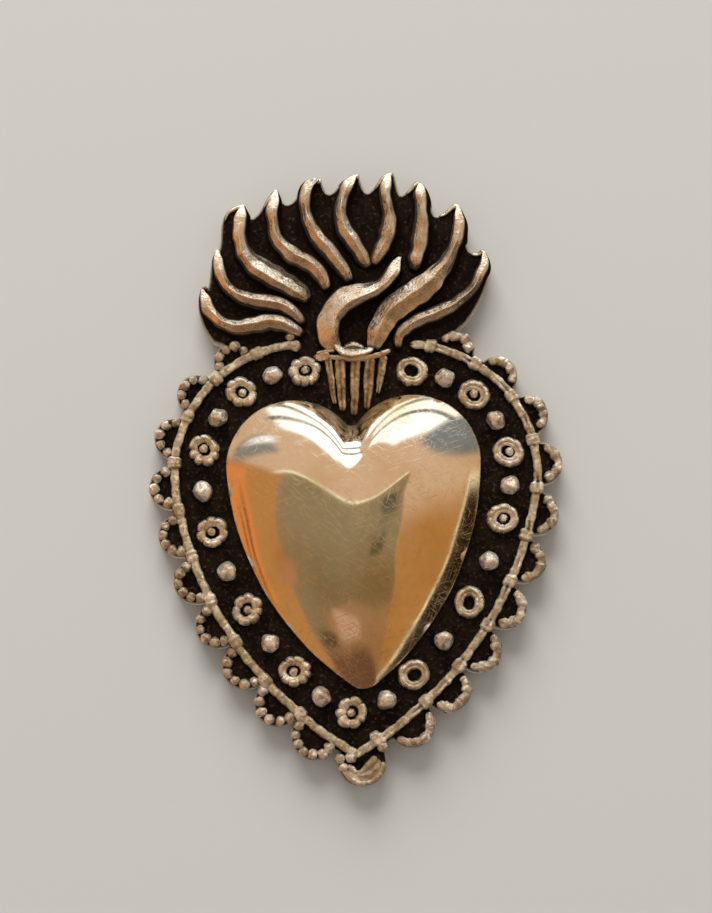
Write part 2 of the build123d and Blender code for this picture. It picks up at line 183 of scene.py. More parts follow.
HEART_DULL = 1.2  # polishing is full above this height
CLEFT_DULL = 2.6  # and above this height in the cleft
CLEFT_REACH = 3.4

# Flames: half widths left and right of the centre line, height of the crest, and that line from root to tip
FLAMES = (
    ((1.15, 1.1), 1.5, ((-5.1, 0.95), (-7.9, 2.25), (-12.0, 1.8), (-13.9, 2.9), (-15.0, 5.5))),
    ((1.0, 1.1), 1.6, ((-5.0, 2.0), (-7.0, 3.75), (-10.3, 4.4), (-12.5, 5.6), (-13.45, 8.0), (-13.6, 9.4))),
    ((0.95, 1.6), 1.7,
     ((-4.5, 4.3), (-8.6, 6.6), (-10.7, 8.2), (-11.55, 11.0), (-11.4, 12.7), (-11.1, 13.9))),
    ((1.15, 1.1), 1.7, ((-2.75, 5.3), (-3.6, 7.2), (-5.8, 8.7), (-7.5, 10.1), (-8.15, 12.5), (-7.8, 15.4))),
    ((1.1, 1.05), 1.8, ((-0.4, 6.2), (-2.2, 8.8), (-4.2, 11.3), (-4.95, 13.7), (-4.6, 15.7), (-3.7, 16.5))),
    ((1.1, 1.1), 1.8, ((1.35, 7.55), (-0.1, 9.9), (-1.35, 12.1), (-1.4, 14.0), (-0.65, 15.9), (-0.1, 16.9))),
    ((1.1, 1.05), 1.8, ((1.6, 7.8), (2.9, 10.2), (3.35, 12.3), (2.95, 14.7), (3.25, 17.0))),
    ((1.15, 1.1), 1.7, ((5.6, 7.3), (6.3, 10.0), (6.5, 12.2), (6.4, 14.4), (6.3, 16.1))),
    ((1.1, 1.15), 2.0,
     ((1.6, -0.7), (2.0, 0.8), (3.3, 3.1), (6.6, 5.6), (9.2, 8.7), (10.1, 11.5), (9.95, 13.9))),
    ((1.0, 0.9), 1.6,
     ((4.1, -0.5), (4.4, 1.0), (6.6, 2.5), (10.2, 4.3), (12.0, 6.4), (12.6, 8.3), (12.55, 9.3))),
    ((1.6, 0.9), 2.2, ((-1.5, -0.7), (-2.2, 1.4), (-1.0, 3.6), (1.6, 4.9), (3.5, 6.5), (4.3, 8.7))),
)
# How gently the left and right flanks fall, by the flame's number; other flanks are steep
GENTLE_FLANKS = {3: (0.0, 0.648), 9: (1.0, 1.0), 10: (0.0, 0.15625), 11: (1.0, 0.0)}
FLAME_STEPS = 130
FLAME_ACROSS = 57
FLAME_SHARES = (0.0, 0.04, 0.12, 0.35, 0.6, 0.82, 0.93, 1.0)
FLAME_WIDTHS = (0.35, 0.6, 0.85, 1.0, 0.95, 0.88, 0.66, 0.16)
FLAME_HEIGHTS = (0.3, 0.6, 0.85, 1.0, 1.0, 0.95, 0.6, 0.3)
FLAME_SOFTENING = 30  # rounds of smoothing of widths and heights along a flame
FLAME_SINK = 0.03
FLAME_FOOT = 0.35  # how much wider the hollow foot is than the half width, up to the shares where it ends
FLAME_FOOT_END = (0.4, 0.7)
FLAME_PITCH = 0.7  # fall of a steep flank's roof, as a share of the height for each half width
FLAME_EAVES = 0.45
FLAME_TIP_EAVES = 0.6
FLAME_HOLLOW = 1.9  # power of the hollow fall from the eaves to the plate
FLAME_TIP = (0.7, 0.92)  # between these shares the roof flattens to a sloping chisel end
FLAME_RIDGE = 0.04  # rounding of the crest, as a share of the half width
FLAME_ROOT = 0.05  # share of the length where polishing is full
# the right flank's pair is the narrower one: painted shade on the flank turned from the light
FLAME_SHADE = ((0.7, 1.7), (0.5, 1.35))  # tarnish and painted shade close in between these parts of the way to the eaves
SATIN_SHADE = (0.75, 0.92)  # and between these shares of the half width on a gentle flank
SATIN_SLOPE = 0.72  # fall of a gentle flank for each mm
SATIN_EDGE = (0.85, 1.0)  # shares of the half width between which it drops to the plate
SATIN_END = (0.5, 0.8)  # shares of the way to the tip between which a gentle flank turns steep
# Thin bright hooks that run from a flame's tip down the edge of the plate to the left, by the flame's number
HOOKS = {
    1: ((-14.5, 5.45), (-14.9, 5.5), (-15.15, 5.6)),
    2: ((-14.1, 8.0), (-13.95, 8.7), (-13.45, 9.45)),
    3: ((-13.05, 12.4), (-12.7, 13.2), (-12.1, 13.65), (-11.05, 13.95)),
    4: ((-9.3, 13.6), (-8.6, 14.7), (-7.75, 15.55)),
    5: ((-5.75, 15.1), (-5.3, 15.75), (-4.6, 16.2), (-3.4, 16.55)),
    6: ((-1.9, 15.6), (-1.2, 16.4), (-0.6, 16.8), (0.3, 17.0)),
    7: ((1.7, 15.6), (2.1, 16.15), (2.6, 16.8), (3.55, 17.2)),
    8: ((4.8, 15.15), (5.2, 15.5), (5.65, 16.0), (6.25, 16.3)),
    9: ((8.1, 12.95), (8.7, 13.2), (9.25, 13.7), (9.9, 14.1)),
    10: ((11.3, 9.2), (11.85, 9.15), (12.5, 9.55)),
}
HOOK_STEPS = 60
HOOK_INSET = 0.16
HOOK_RADIUS = (0.1, 0.2, 0.3)
HOOK_LIFT = 0.1
HOOK_TILT = -0.4

# Cup: flutes from the lip to the heart's cleft
FLUTE_TOPS = ((-2.74, 11.4), (-1.6, 11.5), (-0.04, 11.5), (1.38, 11.55), (2.7, 11.8))
FLUTE_FEET = ((-2.05, 6.9), (-1.3, 6.15), (-0.2, 5.75), (1.05, 6.3), (2.1, 7.9))
FLUTE_WIDTHS = ((0.36, 0.2), (0.54, 0.32), (0.5, 0.34), (0.56, 0.28), (0.42, 0.2))  # radius at top and foot
FLUTE_WAIST = 0.92  # radius half way, as a share of that at the top
FLUTE_STEPS = 60
FLUTE_LIFT = (0.3, 0.12)  # at top and foot
FLUTE_FORM = {"around": 28, "squash": 1.1, "groove": 0.25, "power": 0.7, "tilt": 0.2}
# Bars of the lip: lift at start and end, squareness and tilt, radius at start, middle and end, and route
LIP_BARS = (
    ((-0.2, 1.0), 0.5, 0.3, (0.24, 0.44, 0.36), ((-4.3, 11.5), (-3.5, 11.55), (-2.5, 11.6))),
    ((0.3, 0.9), 1.0, -0.3, (0.12, 0.2, 0.16), ((-3.9, 11.98), (-3.1, 12.1), (-2.1, 12.15))),
    ((0.45, 0.45), 0.6, 0.2, (0.24, 0.34, 0.28),
     ((-2.9, 11.55), (-1.4, 11.45), (0.2, 11.4), (1.6, 11.6), (2.6, 11.85))),
    ((0.6, 0.4), 1.0, 0.0, (0.3, 0.3, 0.24), ((2.3, 11.85), (2.9, 12.05), (3.4, 12.3))),
    ((0.95, 0.95), 0.6, -0.6, (0.28, 0.56, 0.24),
     ((-1.95, 13.0), (-1.6, 12.3), (-0.9, 11.95), (-0.1, 11.92), (0.7, 12.02), (1.75, 12.35))),
    ((0.35, 0.35), 0.8, -0.5, (0.14, 0.32, 0.14), ((-1.3, 12.5), (-0.3, 12.85), (0.8, 12.5))),
)

# Bars in general
BAR_STEPS = 70
FINENESS = 20  # steps of a spline before it is divided evenly, for each step after
GROOVE_WIDTH = 0.4  # in radians round a bar
GROOVE_DULL = 1.5  # how much less a groove is polished, for its depth
LEAST_HEIGHT = 0.1
END_LEAST = 0.0025  # square of the share of the radius left at a rounded end

# Waviness of hand work: first seed of its draws, amount in mm or as a share, and length of the waves in mm
HEART_WAVE = (3, 0.03, 7.0)
WIRE_WANDER = (5, 0.08, 6.0)
WIRE_TREMBLE = (15, 0.05, 1.7)
WIRE_SWELL = (9, 0.12, 2.0)
WIRE_LUMPS = (19, 0.06, 0.7)
STRAND_WAVE = (25, 0.8, 4.0)
SCALLOP_BOW = (40, 0.05, 3.0)
MELTED_WANDER = (60, 0.1, 1.6)
MELTED_SWELL = (80, 0.14, 0.9)
RING_LUMPS = (0, 0.13, 0.9)
FLUTE_WANDER = (50, 0.05, 2.0)
FLUTE_SWELL = (60, 0.08, 1.2)
FLAME_WANDER = (400, 0.07, 2.6)
FLAME_SWELL = (420, 0.1, 2.2)
FLAME_CREST = (440, 0.07, 3.0)
SINES = 5
SINE_SPREAD = (0.6, 1.6)  # range of the waves' frequency, against one wave in that length

# Seeds of the other random draws; a scallop's number multiplies those of its beads and its lumps
BEAD_SEED = 20
LUMP_SEED = 30
KNOT_SEED = 60
CURL_SEED = 71
RING_SEED = 100
SHIFT_SEED = 7
GRANULE_SEED = 200
DOT_SEED = {-1: 290, 1: 310}
TIP_BEAD_SEED = 500

# Camera: the photograph's frame and what it covers
PHOTO_HEIGHT = 913
MM_PER_PIXEL = 0.0972
CAMERA_DISTANCE = 250.0
CAMERA_TILT = math.radians(7.0)
CAMERA_AIM = (0.0, 1.85, PLATE_TOP)
SENSOR = 36.0


# Shapes


def wobble(place, number, waves):
    """Smooth random waviness: the mean of sines of random direction and phase, times an amount. `waves` gives
    the first seed, to which the piece's number is added, the amount, and about how long the waves are."""
    first_seed, amount, length = waves
    dice = np.random.default_rng(first_seed + number)
    place = np.asarray(place, float)
    if place.ndim == 1:
        place = place[:, None]
    total = np.zeros(place.shape[:-1])
    for _ in range(SINES):
        direction = dice.normal(size=place.shape[-1])
        direction *= 2 * math.pi / length / np.linalg.norm(direction) * dice.uniform(*SINE_SPREAD)
        total += np.sin(place @ direction + dice.uniform(0, 2 * math.pi))
    return amount * (total / SINES)


def smooth(low, high, value):
    """Smooth step from 0 at `low` to 1 at `high`."""
    share = np.clip((value - low) / (high - low), 0, 1)
    return share * share * (3 - 2 * share)


def distances(points):
    """Distance of each point from the first, along the line through them."""
    return np.concatenate(([0], np.cumsum(np.linalg.norm(np.diff(points, axis=0), axis=1))))


def line_through(points, count):
    """Natural cubic spline through the points, taken over their chord lengths, at `count` even steps."""
    points = np.asarray(points, float)
    knots = distances(points)
    gaps = np.diff(knots)
    slopes = np.diff(points, axis=0) / gaps[:, None]
    size = len(points)
    system = np.eye(size)
    inner = np.arange(1, size - 1)
    system[inner, inner - 1] = gaps[:-1]
    system[inner, inner] = 2 * (gaps[:-1] + gaps[1:])
    system[inner, inner + 1] = gaps[1:]
    bends = np.zeros_like(points)
    bends[1:-1] = 6 * np.diff(slopes, axis=0)
    bends = np.linalg.solve(system, bends)
    fine = np.linspace(0, knots[-1], FINENESS * count)
    span = np.clip(np.searchsorted(knots, fine, side="right") - 1, 0, size - 2)
    gap = gaps[span][:, None]
    before = (fine - knots[span])[:, None]
    after = gap - before
    curve = (bends[span] * after**3 + bends[span + 1] * before**3) / (6 * gap)
    curve += (points[span] / gap - bends[span] * gap / 6) * after
    curve += (points[span + 1] / gap - bends[span + 1] * gap / 6) * before
    run = distances(curve)
    even = np.linspace(0, run[-1], count)
    return np.stack([np.interp(even, run, curve[:, axis]) for axis in range(2)], axis=-1)


def sideways(path):
    """Unit vectors to the left of a flat path, and the distance run along it."""
    tangent = np.gradient(path, axis=0)
    tangent /= np.linalg.norm(tangent, axis=1, keepdims=True)
    return np.stack([-tangent[:, 1], tangent[:, 0]], axis=-1), distances(path)


def rim_line(side, along, inset=0.0):
    """Points on the rim line at distances from the tip, on the side -1 or +1, with their outward angles:
    a flank arc up to the join, then a shoulder arc."""
    along = np.asarray(along, float)
    flank = FLANK_RADIUS - inset
    shoulder = SHOULDER_RADIUS - inset
    tip = -math.acos(-FLANK_X / flank)
    flank_length = (SHOULDER_JOIN - tip) * flank
    low = along <= flank_length
    angle = np.where(low, tip + along / flank, SHOULDER_JOIN + (along - flank_length) / shoulder)
    x = np.where(low, FLANK_X + flank * np.cos(angle), SHOULDER_X + shoulder * np.cos(angle))
    y = np.where(low, FLANK_Y + flank * np.sin(angle), SHOULDER_Y + shoulder * np.sin(angle))
    outward = angle if side > 0 else math.pi - angle
    return np.stack([side * x, y], axis=-1), outward


def shoulder_distance(angle, inset=0.0):
    """Distance along the rim line, or a line inside it, from the tip to an angle on the shoulder arc."""
    flank = FLANK_RADIUS - inset
    flank_length = (SHOULDER_JOIN + math.acos(-FLANK_X / flank)) * flank
    return flank_length + (angle - SHOULDER_JOIN) * (SHOULDER_RADIUS - inset)


def skin(rings, rub, loop):
    """A closed shell over rings of points, with quads between neighbouring rings. A loop joins its last ring
    to its first, and any other shell has a fan over each end ring. Shells that come out inside out are
    turned. `rub` says how far polishing has reached each point, from 0 in a recess to 1 on a crest."""
    count, around = rings.shape[:2]
    points = np.concatenate([rings.reshape(-1, 3), rings[[0, -1]].mean(axis=1)])
    rubs = np.concatenate([rub.reshape(-1), rub[[0, -1]].mean(axis=1)])
    first = np.arange(around)
    second = (first + 1) % around
    start = around * np.arange(count if loop else count - 1)[:, None]
    after = (start + around) % (count * around)
    quads = np.stack([start + first, start + second, after + second, after + first], axis=-1).reshape(-1, 4)
    last = (count - 1) * around
    head = np.stack([second, first, np.full(around, count * around)], axis=-1)
    tail = np.stack([last + first, last + second, np.full(around, count * around + 1)], axis=-1)
    fans = np.concatenate([head, tail])
    if loop:
        points = points[:-2]
        rubs = rubs[:-2]
        fans = fans[:0]
    corners = np.concatenate([quads[:, [0, 1, 2]], quads[:, [0, 2, 3]], fans])
    middle = points - points.mean(axis=0)
    a, b, c = (middle[corners[:, n]] for n in range(3))
    if np.einsum("ij,ij->i", a, np.cross(b, c)).sum() < 0:
        quads = quads[:, ::-1]
        fans = fans[:, ::-1]
    return points, quads, fans, rubs


def rubbed(rings, height):
    """How far polishing has reached the points of a piece of this height: a smooth step of their heights."""
    return smooth(*RUB, (rings[..., 2] - PLATE_TOP) / height)


def bar(path, radius, lift, around=20, squash=1.0, groove=0.0, power=1.0, tilt=0.0):
    """A bar on the plate: rings of the given radius across a flat path, `lift` above the plate. Cosine and
    sine to a power make each ring round or square; it is squashed in height, tilted sideways, grooved along
    the top and cut flat underneath."""
    left, _ = sideways(path)
    lift = np.broadcast_to(lift, len(path))[:, None]
    groove = np.broadcast_to(groove, len(path))[:, None]
    turn = np.linspace(0, 2 * math.pi, around, endpoint=False)
    dent = 1 - groove * np.exp(-(((turn - math.pi / 2) / GROOVE_WIDTH) ** 2))
    cos = np.sign(np.cos(turn)) * np.abs(np.cos(turn)) ** power
    sin = np.sign(np.sin(turn)) * np.abs(np.sin(turn)) ** power
    wide = radius[:, None] * cos * dent
    tall = radius[:, None] * (sin * dent * squash + tilt * cos)
    rings = np.empty((len(path), around, 3))
    rings[..., :2] = path[:, None] + wide[..., None] * left[:, None]
    rings[..., 2] = np.maximum(PLATE_TOP + lift + tall, SEAT)
    rub = rubbed(rings, (lift + squash * radius.max()).clip(LEAST_HEIGHT))
    return rings, rub * (1 - GROOVE_DULL * (1 - dent))


def rounded(run, radius):
    """Radius along a bar whose ends are rounded off like half balls."""
    reach = np.minimum(run, run[-1] - run)
    return radius * np.sqrt(np.clip(1 - (1 - reach / np.max(radius)).clip(0) ** 2, END_LEAST, 1))


def routed_bar(points, radii, lifts, **form):
    """A bar with rounded ends on a spline through the points; radius and lift change evenly along it."""
    path = line_through(points, BAR_STEPS)
    _, run = sideways(path)
    share = run / run[-1]
    radius = np.interp(share, np.linspace(0, 1, len(radii)), radii)
    lift = np.interp(share, (0, 1), lifts)
    return bar(path, rounded(run, radius), lift, **form)


def ball(centre, radius, lift, seed, rough=0.08):
    """A soldered bead: a sphere with its poles up and down, lumpy by a smooth waviness, with flats where
    random planes cut it, and cut flat underneath."""
    pole = math.pi / 2 - POLE_GAP
    rise = np.linspace(-pole, pole, BALL_GRID[0])[:, None]
    turn = np.linspace(0, 2 * math.pi, BALL_GRID[1], endpoint=False)[None]
    up = np.sin(rise) * np.ones_like(turn)
    way = np.stack([np.cos(rise) * np.cos(turn), np.cos(rise) * np.sin(turn), up], axis=-1)
    planes = np.random.default_rng(seed).normal(size=(FLATS, 3))
    planes /= np.linalg.norm(planes, axis=1, keepdims=True)
    cut = np.min(FLAT_DEPTH / (way @ planes.T).clip(0.1), axis=-1).clip(0, 1)
    rings = way * (radius * cut * (1 + wobble(way, seed, (0, rough, LUMP_LENGTH))))[..., None]
    rings[..., 2] = np.maximum(PLATE_TOP + lift + rings[..., 2], SEAT)
    rings[..., :2] += np.asarray(centre)
    return rings, rubbed(rings, lift + radius)


def heart_shells():
    """The raised heart: heart outlines of six arcs that shrink towards the middle while cleft and tip soften,
    at heights that fall from the crown as a power of the outline's size, with a faint waviness."""
    share = np.concatenate([np.ones(SKIRT_RINGS), np.linspace(1, HEART_MIDDLE, HEART_RINGS)])[:, None]
    height = HEART_SKIRT + (HEART_HEIGHT - HEART_SKIRT) * (1 - share[:, 0] ** HEART_FULLNESS)
    height[:SKIRT_RINGS] = np.linspace(SEAT - PLATE_TOP, SKIRT_TOP * HEART_SKIRT, SKIRT_RINGS)
    cleft = HEART_CLEFT / share**CLEFT_FADE
    tip = np.minimum(HEART_TIP / share, BLUNT_TIP)
    flank_x = LOBE_X + (LOBE_RADIUS - HEART_FLANK) * math.cos(LOBE_JOIN)
    flank_y = LOBE_RISE + (LOBE_RADIUS - HEART_FLANK) * math.sin(LOBE_JOIN)
    tip_y = flank_y - np.sqrt((HEART_FLANK - tip) ** 2 - flank_x**2)
    tip_angle = np.arctan2(tip_y - flank_y, -flank_x)
    cleft_y = LOBE_RISE + np.sqrt((LOBE_RADIUS + cleft) ** 2 - LOBE_X**2)
    cleft_angle = np.arctan2(cleft_y - LOBE_RISE, -LOBE_X)
    arcs = (  # middle, radius, first angle, sweep and number of steps
        (LOBE_X, LOBE_RISE, LOBE_RADIUS, LOBE_JOIN, cleft_angle - LOBE_JOIN, LOBE_STEPS),
        (0.0, cleft_y, cleft, cleft_angle - math.pi, math.pi - 2 * cleft_angle, CLEFT_STEPS),
        (-LOBE_X, LOBE_RISE, LOBE_RADIUS, math.pi - cleft_angle, cleft_angle - LOBE_JOIN, LOBE_STEPS),
        (-flank_x, flank_y, HEART_FLANK, math.pi - LOBE_JOIN, LOBE_JOIN - tip_angle, FLANK_STEPS),
        (0.0, tip_y, tip, math.pi - tip_angle, math.pi + 2 * tip_angle, TIP_STEPS),
        (flank_x, flank_y, HEART_FLANK, tip_angle, LOBE_JOIN - tip_angle, FLANK_STEPS),
    )
    outline = []
    for x, y, radius, begin, sweep, steps in arcs:
        turn = begin + sweep * np.linspace(0, 1, steps, endpoint=False)
        outline.append(np.stack([x + radius * np.cos(turn), y + radius * np.sin(turn)], axis=-1))
    plan = np.concatenate(outline, axis=1) * share[..., None]
    cos = math.cos(HEART_TURN)
    sin = math.sin(HEART_TURN)
    plan = plan @ np.array([[cos, sin], [-sin, cos]]) + np.array(HEART_CENTRE)
    rings = np.empty((*plan.shape[:2], 3))
    rings[..., :2] = plan
    wave = wobble(plan, 0, HEART_WAVE) * (1 - share**WAVE_FADE)
    rings[..., 2] = PLATE_TOP + height[:, None] + wave
    cleft_spot = np.array([-HEART_TURN * cleft_y[0, 0], cleft_y[0, 0]]) + HEART_CENTRE
    near_cleft = np.exp(-((np.linalg.norm(plan - cleft_spot, axis=-1) / CLEFT_REACH) ** 4))
    rub = smooth(0.0, HEART_DULL + (CLEFT_DULL - HEART_DULL) * near_cleft, height[:, None])
    return [(rings, rub)]


def flame_shells(number, widths, height, points):
    """A tongue of flame: a roof-shaped crest swept along its centre line. A steep flank falls in a straight
    line to its eaves and from there in a hollow curve, a power of the rest, to the plate; a gentle flank
    falls in a straight line all the way. Towards the tip the roof flattens."""
    path = line_through(np.asarray(points) + (0, PLUME_Y), FLAME_STEPS)
    left, run = sideways(path)
    share = run / run[-1]
    path = path + wobble(run, number, FLAME_WANDER)[:, None] * left
    shape = np.stack([np.interp(share, FLAME_SHARES, line) for line in (FLAME_WIDTHS, FLAME_HEIGHTS)])
    for _ in range(FLAME_SOFTENING):
        shape[:, 1:-1] = (shape[:, :-2] + 2 * shape[:, 1:-1] + shape[:, 2:]) / 4
    width = shape[0] * (1 + wobble(run, number, FLAME_SWELL))
    crest = height * shape[1] * (1 + wobble(run, number, FLAME_CREST))
    across = np.linspace(-1, 1, FLAME_ACROSS)
    on_left = across > 0
    fall = np.abs(across)
    tip = smooth(*FLAME_TIP, share)[:, None]
    foot = 1 + FLAME_FOOT * (1 - smooth(*FLAME_FOOT_END, share)[:, None])
    half = np.where(on_left, *widths) * width[:, None] * foot
    rounded_fall = np.sqrt(fall**2 + FLAME_RIDGE**2) - FLAME_RIDGE
    eaves = FLAME_EAVES + (FLAME_TIP_EAVES - FLAME_EAVES) * tip
    hollow = ((1 - fall) / (1 - eaves)).clip(0, 1) ** FLAME_HOLLOW
    steep = (1 - FLAME_PITCH * (1 - tip) * rounded_fall) * hollow
    satin = (1 - SATIN_SLOPE * half / crest[:, None] * rounded_fall) * (1 - smooth(*SATIN_EDGE, fall))
    gentle = np.where(on_left, *GENTLE_FLANKS.get(number, (0.0, 0.0)))
    gentle = gentle * (1 - smooth(*SATIN_END, share)[:, None])
    rise = steep + gentle * (satin.clip(0) - steep)
    rings = np.empty((len(path), len(across) + 2, 3))
    offset = np.concatenate([across * half, half[:, -1:], -half[:, :1]], axis=1)
    rings[..., :2] = path[:, None] + offset[..., None] * left[:, None]
    rings[:, :-2, 2] = PLATE_TOP + crest[:, None] * rise - FLAME_SINK
    rings[:, -2:, 2] = SEAT
    # Tarnish closes in from the hollow foot; the right flank's narrower reach is painted shade
    shade = []
    for left_part, right_part, reach in zip(*FLAME_SHADE, SATIN_SHADE):
        steep_reach = eaves * np.where(on_left, left_part, right_part)
        shade.append(steep_reach + (reach - steep_reach) * gentle)
    rub = np.zeros(rings.shape[:2])
    rub[:, :-2] = 1 - smooth(*shade, fall)
    rub[:, :-2] *= smooth(0.0, FLAME_ROOT, share)[:, None]
    return [(rings, rub)]


def hook_shells(points):
    """A thin bright edge: a flattened bar, wider towards the flame's tip, just inside the plate's edge."""
    path = line_through(np.asarray(points) + (0, PLUME_Y), HOOK_STEPS)
    left, run = sideways(path)
    radius = np.interp(run / run[-1], (0, 0.5, 1), HOOK_RADIUS)
    return [bar(path - HOOK_INSET * left, rounded(run, radius), HOOK_LIFT, around=12, tilt=HOOK_TILT)]


def scallop_path(number):
    """The line of a scallop: an arc that bows out from the rim, slightly uneven, bigger towards the tip."""
    side = 1 if number > TIP_SCALLOP else -1
    ends = {key: shoulder_distance(angle) for key, angle in SCALLOP_END.items()}
    seats = np.linspace(SCALLOP_FIRST[side], ends[side], SCALLOPS_A_SIDE)
    along = seats[abs(number - TIP_SCALLOP) - 1]
    seat, outward = rim_line(side, along)
    forms = (SCALLOP_RADIUS, SCALLOP_OFFSET, SCALLOP_REACH)
    radius, offset, reach = (np.interp(along / max(ends.values()), (0, 1), form) for form in forms)
    centre = seat + offset * np.array([math.cos(outward), math.sin(outward)])
    turn = outward + np.linspace(reach, -reach, SCALLOP_STEPS)
    bow = radius * (1 + wobble(turn * radius, number, SCALLOP_BOW))
    return centre + bow[:, None] * np.stack([np.cos(turn), np.sin(turn)], axis=-1)


def beaded_shells(number):
    """A scallop of separate beads, each a little bigger or smaller, on a thin wire."""
    path = scallop_path(number)
    _, run = sideways(path)
    count = round(run[-1] / BEAD_SPACING) + 1
    places = path[np.linspace(0, len(path) - 1, count).astype(int)]
    sizes = BEAD_RADIUS * (1 + BEAD_UNEVEN * np.random.default_rng(number).uniform(-1, 1, count))
    link, link_rub = bar(path, np.full(len(path), LINK_RADIUS), BEAD_LIFT, around=12)
    shells = [(link, LINK_POLISH * link_rub)]
    for bead, (place, size) in enumerate(zip(places, sizes)):
        shells.append(ball(place, size, BEAD_LIFT, BEAD_SEED * number + bead, rough=0.14))
    return shells


def melted_shells(number):
    """A scallop of beads that have run together: a bar with half circles at even steps, each a little bigger
    or smaller, never under the radius of the wire between them, with a few lumps on it."""
    path = scallop_path(number)
    left, run = sideways(path)
    path = path + wobble(run, number, MELTED_WANDER)[:, None] * left
    dice = np.random.default_rng(number)
    spacing = run[-1] / round(run[-1] / BEAD_SPACING) * MELTED_SPREAD
    nearest = np.round(run / spacing).astype(int)
    sizes = MELTED_RADIUS * (1 + MELTED_UNEVEN * dice.uniform(-1, 1, nearest.max() + 1))[nearest]
    from_bead = np.abs(run - nearest * spacing)
    thick = np.maximum(np.sqrt(np.clip(sizes**2 - from_bead**2, 0, None)), MELTED_LEAST)
    thick = thick * (1 + wobble(run, number, MELTED_SWELL))
    shells = [bar(path, rounded(run, thick), BEAD_LIFT, around=18, squash=0.95, power=0.75)]
    for lump in range(MELTED_LUMPS):
        place = path[dice.integers(MELTED_END, len(path) - MELTED_END)]
        size = dice.uniform(*LUMP_RADIUS)
        shells.append(ball(place, size, BEAD_LIFT, LUMP_SEED * number + lump, rough=0.2))
    return shells


def leaf_shells():
    """The folded leaf at the heart's tip, with beads beside it."""
    shells = []
    for bead, (place, size) in enumerate(TIP_BEADS):
        shells.append(ball(place, size, BEAD_LIFT, TIP_BEAD_SEED + bead))
    for (lift, squash), radii, points in TIP_BARS:
        shells.append(routed_bar(points, radii, (lift, lift), squash=squash))
    return shells


def rim_shells(side):
    """A rim wire: a slightly uneven flattened wire along the rim line with a swollen knot at every cusp of
    the lace edge, grooved like two strands on the right; the left one ends in a curl of two beads."""
    along = np.linspace(RIM_START, shoulder_distance(RIM_ENDS[side]), RIM_STEPS)
    path, outward = rim_line(side, along)
    way = np.stack([np.cos(outward), np.sin(outward)], axis=-1)
    path = path + wobble(along, side, WIRE_WANDER)[:, None] * way
    path = path + wobble(along, side, WIRE_TREMBLE)[:, None] * way
    _, run = sideways(path)
    pitch = (shoulder_distance(SCALLOP_END[side]) - SCALLOP_FIRST[side]) / (SCALLOPS_A_SIDE - 1)
    knots = SCALLOP_FIRST[side] + (np.arange(-1, SCALLOPS_A_SIDE) + 0.5) * pitch
    knots[0] = TIP_KNOT if side > 0 else knots[1]
    gaps = np.abs(along[:, None] - knots)
    nearest = gaps.min(axis=1)
    uneven = np.random.default_rng(KNOT_SEED + side).uniform(0, 1, len(knots))[gaps.argmin(axis=1)]
    swell = np.exp(-((nearest / KNOT_LENGTH) ** KNOT_EDGE))
    radius = WIRE_RADIUS * (1 + wobble(along, side, WIRE_SWELL))
    radius = radius + (KNOT_RADIUS - WIRE_RADIUS) * swell * (KNOT_LEAST + KNOT_SPREAD * uneven)
    radius = radius * (1 + wobble(along, side, WIRE_LUMPS))
    groove = STRAND_GROOVE[side] * (STRAND_MEAN + wobble(along, side, STRAND_WAVE)).clip(0)
    wire, rub = bar(path, rounded(run, radius), WIRE_LIFT, around=28, groove=groove, power=0.7)
    crease = np.exp(-(((nearest - CREASE_PLACE) / CREASE_WIDTH) ** 2))
    crease = crease * KNOT_CREASE[side] * (CREASE_LEAST + uneven)
    shells = [(wire, rub * (1 - crease[:, None]))]
    if side < 0:
        shells += [ball(place, size, WIRE_LIFT, CURL_SEED) for place, size in CURL_BEADS]
    return shells


def ring_shells(number, centre):
    """A flower ring: a doughnut, lumpy, oval and thicker on one side, with a groove round the top. Its outer
    wall swells in petals with clefts between them, deep on the left of the heart and faint on the right."""
    dice = np.random.default_rng(RING_SEED + number)
    turn = np.linspace(0, 2 * math.pi, RING_GRID[0], endpoint=False)[:, None]
    roll = np.linspace(0, 2 * math.pi, RING_GRID[1], endpoint=False)[None]
    on_right = number > LEFT_RINGS
    depth = PETAL_DEPTH[on_right]
    long_way, heavy_side, first_petal = dice.uniform(0, 2 * math.pi, 3)
    oval = 1 + RING_OVAL * np.cos(2 * turn + long_way)
    lumps = 1 + wobble(np.concatenate([np.cos(turn), np.sin(turn)], axis=1), number, RING_LUMPS)[:, None]
    lumps = lumps * (1 + RING_HEAVY * np.cos(turn + heavy_side))
    uneven_turn = turn + PETAL_DRIFT[0] * np.sin(turn + heavy_side)
    uneven_turn = uneven_turn + PETAL_DRIFT[1] * np.sin(3 * turn + first_petal)
    petals = PETALS + dice.integers(-1, 2)
    wave = np.abs(np.cos(petals / 2 * uneven_turn + first_petal))
    outer = np.clip(np.cos(roll) + PETAL_REACH, 0, 1)
    dent = 1 - RING_GROOVE[on_right] * np.exp(-(((roll - GROOVE_PLACE) / GROOVE_SPREAD) ** 2))
    tube = RING_TUBE * lumps * (1 + depth * (wave**PETAL_POWER - PETAL_MEAN) * outer) * dent
    reach = RING_RADIUS * oval + tube * np.cos(roll)
    rings = np.empty((*tube.shape, 3))
    rings[..., 0] = centre[0] + reach * np.cos(turn)
    rings[..., 1] = centre[1] + reach * np.sin(turn)
    rings[..., 2] = np.maximum(PLATE_TOP + RING_LIFT + tube * np.sin(roll), SEAT)
    cleft = np.exp(-((wave / CLEFT_WIDTH) ** 2)) * outer
    rub = rubbed(rings, RING_LIFT + RING_TUBE)
    return rings, rub * (1 - RING_DULL * (1 - dent)) * (1 - CLEFT_DARK * depth * cleft)


